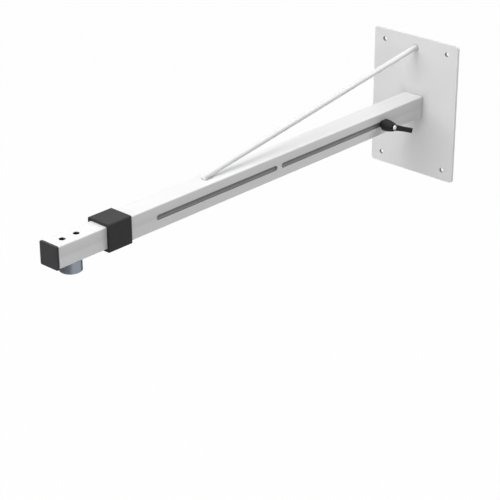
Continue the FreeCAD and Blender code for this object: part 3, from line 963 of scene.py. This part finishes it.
def studio_floor(look):
    """Large pale floor that looks white, still takes a shadow, and is clear from below."""
    whiteness = 0.985
    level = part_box("wall_plate")[0].z - look.floor_drop
    form = bmesh.new()
    form.faces.new([form.verts.new((x * FLOOR_REACH, y * FLOOR_REACH, level))
                    for x, y in ((-1, -1), (1, -1), (1, 1), (-1, 1))])
    sheet = Sheet(bpy.data.materials.new("pale floor"))
    pale = sheet.mix(sheet.noise(0.4, 3.0), (0.66, 0.66, 0.66), (0.7, 0.7, 0.7))
    matt = sheet.node("BsdfDiffuse", {}, {"Color": pale})
    white = sheet.node("Emission", {}, {"Color": PLAIN_WHITE, "Strength": 1.0})
    front = sheet.node("MixShader", {}, {0: background_seen(sheet) * whiteness, 1: matt, 2: white})
    open_back = sheet.node("NewGeometry", {}, {}, "Backfacing")
    clear = sheet.node("BsdfTransparent", {}, {})
    both = sheet.node("MixShader", {}, {0: open_back, 1: front, 2: clear})
    sheet.node("OutputMaterial", {}, {"Surface": both})
    return mesh_object("floor", form, sheet.owner)


def grey_card():
    """Low dark card, bent round the outer end, which shows only in polished metal."""
    bends = ((1.2, -1.64), (0.92, -2.02), (0.53, -2.27), (-0.17, -2.37), (-0.99, -1.95),
             (-1.35, -1.1), (-1.2, -0.42), (-0.92, -0.05), (-0.3, 0.28), (0.35, 0.29))
    form = bmesh.new()
    foot, head = [[form.verts.new((x, y, z)) for x, y in bends] for z in (-0.75, -0.3)]
    for step in range(len(bends) - 1):
        form.faces.new((foot[step], foot[step + 1], head[step + 1], head[step]))
    sheet = Sheet(bpy.data.materials.new("grey card"))
    x, y, _ = sheet.axes()
    fade = 1 - (1 - sheet.mask(y, -1.2, -1.0)) * sheet.mask(x, 0.65, 1.5)
    dark = sheet.node("BsdfDiffuse", {}, {"Color": (0.17, 0.17, 0.18)})
    clear = sheet.node("BsdfTransparent", {}, {})
    mixed = sheet.node("MixShader", {}, {0: fade, 1: clear, 2: dark})
    sheet.node("OutputMaterial", {}, {"Surface": mixed})
    card = mesh_object("grey_card", form, sheet.owner)
    card.visible_camera = card.visible_diffuse = card.visible_shadow = False
    card.visible_transmission = False
    return card


def soft_light(name, place, width, power):
    """Square lamp that looks at the arm's middle."""
    light = in_scene(name, bpy.data.lights.new(name, "AREA"))
    light.data.shape, light.data.size, light.data.energy = "SQUARE", width, power
    light.location = place
    light.rotation_euler = (LAMP_TARGET - place).to_track_quat("-Z", "Y").to_euler()


# Operators

class ARM_OT_coated_steel(Operator):
    """Powder coat on the wall plate, both tubes and the tie rod"""
    bl_idname = "wall_arm.coated_steel"
    bl_label = "Coated steelwork"

    def execute(self, context):
        look = context.scene.arm_coat
        side, inner_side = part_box("outer_tube")[1].x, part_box("inner_tube")[1].x
        dress("outer_tube", slotted_coat(look, side, SLOT_HALF_HEIGHT))
        dress("wall_plate", drilled_coat(look, WALL_HOLE_PLACE, side))
        dress("inner_tube", rubbed_coat(look, inner_side, SLOT_OUTER_END, ACCESS_HOLES))
        new_piece("round_tie_rod", rod_form(), "wall_frame", "white_powder_coat",
                  powder_coat(look), "tie_rod")
        return {"FINISHED"}


class ARM_OT_weld_beads(Operator):
    """Rippled beads where the outer tube and the tie rod are welded"""
    bl_idname = "wall_arm.weld_beads"
    bl_label = "Weld beads"

    def execute(self, context):
        shape = context.scene.arm_welds
        # The last number of each bead is its share of painted shade.
        for name, form, node, seam_shade_share in (
            ("root_weld_bead", root_bead(shape), "root_weld", 0.28),
            ("rod_head_weld_bead", head_bead(shape), "rod_welds", 0.3),
            ("rod_foot_weld_bead", foot_bead(shape), "rod_welds", 0.5),
        ):
            coat = seam_coat(context.scene.arm_coat, name, seam_shade_share)
            new_piece(name, form, "wall_frame", "white_powder_coat", coat, node, crease=0.9)
        return {"FINISHED"}


class ARM_OT_plastic_parts(Operator):
    """Collar, end cap, guide plug and clamp washer in moulded plastic"""
    bl_idname = "wall_arm.plastic_parts"
    bl_label = "Plastic parts"

    def execute(self, context):
        look = context.scene.arm_plastic
        plastic = moulded_plastic(look, "moulded black plastic", 0.95)
        for node in ("collar", "guide_plug", "clamp_washer"):
            dress(node, plastic, 0.0002)
        dress("end_cap", moulded_plastic(look, "moulded dark grey plastic", 1.6), 0.0002)
        return {"FINISHED"}


class ARM_OT_socket(Operator):
    """Turned socket under the outer end"""
    bl_idname = "wall_arm.socket"
    bl_label = "Socket"

    def execute(self, context):
        low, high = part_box("socket")
        dress("socket", turned_steel(context.scene.arm_steel, (low + high) / 2), 0.0)
        return {"FINISHED"}


class ARM_OT_socket_screws(Operator):
    """Bolts, washers and grub screw of the socket"""
    bl_idname = "wall_arm.socket_screws"
    bl_label = "Socket screws"

    def execute(self, context):
        steel, shape = context.scene.arm_steel, context.scene.arm_fasteners
        oxide = black_oxide(steel)
        low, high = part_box("socket_bolts")
        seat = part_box("socket_washers")[1].z
        for name, y in (("socket_bolt_outer", low.y + BOLT_HEAD_RADIUS),
                        ("socket_bolt_inner", high.y - BOLT_HEAD_RADIUS)):
            form = bolt_form(shape, Matrix.Translation((0, y, seat)))
            new_piece(name, form, "telescopic_arm", "black_oxide_steel", oxide, "socket_bolts")
        new_piece("socket_set_screw", grub_form(shape), "telescopic_arm", "black_oxide_steel",
                  oxide, "socket_grub_screw")
        dress("socket_washers", zinc_plate(steel), 0.0)
        return {"FINISHED"}


class ARM_OT_clamp_stud(Operator):
    """Threaded stud of the clamp and its nut inside the sliding tube"""
    bl_idname = "wall_arm.clamp_stud"
    bl_label = "Clamp stud and nut"

    def execute(self, context):
        steel = context.scene.arm_steel
        new_piece("clamp_stud", stud_form(context.scene.arm_fasteners), "clamp",
                  "black_oxide_steel", black_oxide(steel), "clamp_screw")
        dress("weld_nut", plain_steel(steel))
        return {"FINISHED"}


class ARM_OT_lever(Operator):
    """Clamping lever"""
    bl_idname = "wall_arm.lever"
    bl_label = "Lever"

    def execute(self, context):
        dress("clamp_lever", lever_coat(context.scene.arm_plastic), 0.0)
        return {"FINISHED"}


class ARM_OT_pan_screws(Operator):
    """Zinc-plated pan-head screws of the lever and the collar"""
    bl_idname = "wall_arm.pan_screws"
    bl_label = "Pan-head screws"

    def execute(self, context):
        for node in ("lever_screw", "collar_screw"):
            dress(node, zinc_plate(context.scene.arm_steel), 0.0)
        return {"FINISHED"}


class ARM_OT_lever_spring(Operator):
    """Spring that holds the lever on its teeth"""
    bl_idname = "wall_arm.lever_spring"
    bl_label = "Lever spring"

    def execute(self, context):
        low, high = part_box("lever_spring")
        spring = new_piece("lever_coil_spring", spring_form(context.scene.arm_fasteners), "clamp",
                           "spring_steel", spring_wire(context.scene.arm_steel), "lever_spring")
        lift = next(j for j in frame["joints"] if j["name"] == "lever_lift")
        room = high.x - low.x
        1 - max(lift["range_m"]) / room
        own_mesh(spring)
        return {"FINISHED"}


class ARM_OT_studio(Operator):
    """White floor and surround, soft lights, and the camera"""
    bl_idname = "wall_arm.studio"
    bl_label = "Studio"

    def execute(self, context):
        look = context.scene.arm_studio
        lit_world(context.scene, look)
        studio_floor(look)
        grey_card()
        for name, place, width in LAMPS:
            soft_light(name, Vector(place), width, getattr(look, name))
        camera = in_scene("camera", bpy.data.cameras.new("camera"))
        camera.data.lens, camera.data.sensor_width = look.lens, FILM_WIDTH
        camera.matrix_world = Matrix.Translation(look.place) @ Euler(look.turn).to_matrix().to_4x4()
        context.scene.camera = camera
        context.scene.view_settings.view_transform = "Standard"
        return {"FINISHED"}


STEPS = (
    ARM_OT_studio,
    ARM_OT_coated_steel,
    ARM_OT_weld_beads,
    ARM_OT_plastic_parts,
    ARM_OT_socket,
    ARM_OT_socket_screws,
    ARM_OT_clamp_stud,
    ARM_OT_lever,
    ARM_OT_pan_screws,
    ARM_OT_lever_spring,
)


class ARM_PT_panel(Panel):
    """Sizes, colours and steps of the wall arm"""
    bl_idname = "ARM_PT_panel"
    bl_label = "Wall arm"
    bl_space_type = "VIEW_3D"
    bl_region_type = "UI"
    bl_category = "Wall arm"

    def draw(self, context):
        for name, group in LOOKS.items():
            box = self.layout.box()
            box.label(text=group.__doc__)
            for prop in group.__annotations__:
                box.prop(getattr(context.scene, name), prop)
        for step in STEPS:
            self.layout.operator(step.bl_idname)


CLASSES = (*LOOKS.values(), *STEPS, ARM_PT_panel)


def register():
    """Registers the classes and gives the scene their settings."""
    for entry in CLASSES:
        bpy.utils.register_class(entry)
    for name, group in LOOKS.items():
        setattr(bpy.types.Scene, name, PointerProperty(type=group))


def unregister():
    """Takes the settings and the classes away again."""
    for name in LOOKS:
        delattr(bpy.types.Scene, name)
    for entry in reversed(CLASSES):
        bpy.utils.unregister_class(entry)


def main():
    """Dresses the arm step by step."""
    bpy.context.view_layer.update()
    register()
    for step in STEPS:
        family, name = step.bl_idname.split(".")
        getattr(getattr(bpy.ops, family), name)()


if __name__ == "__main__":
    main()
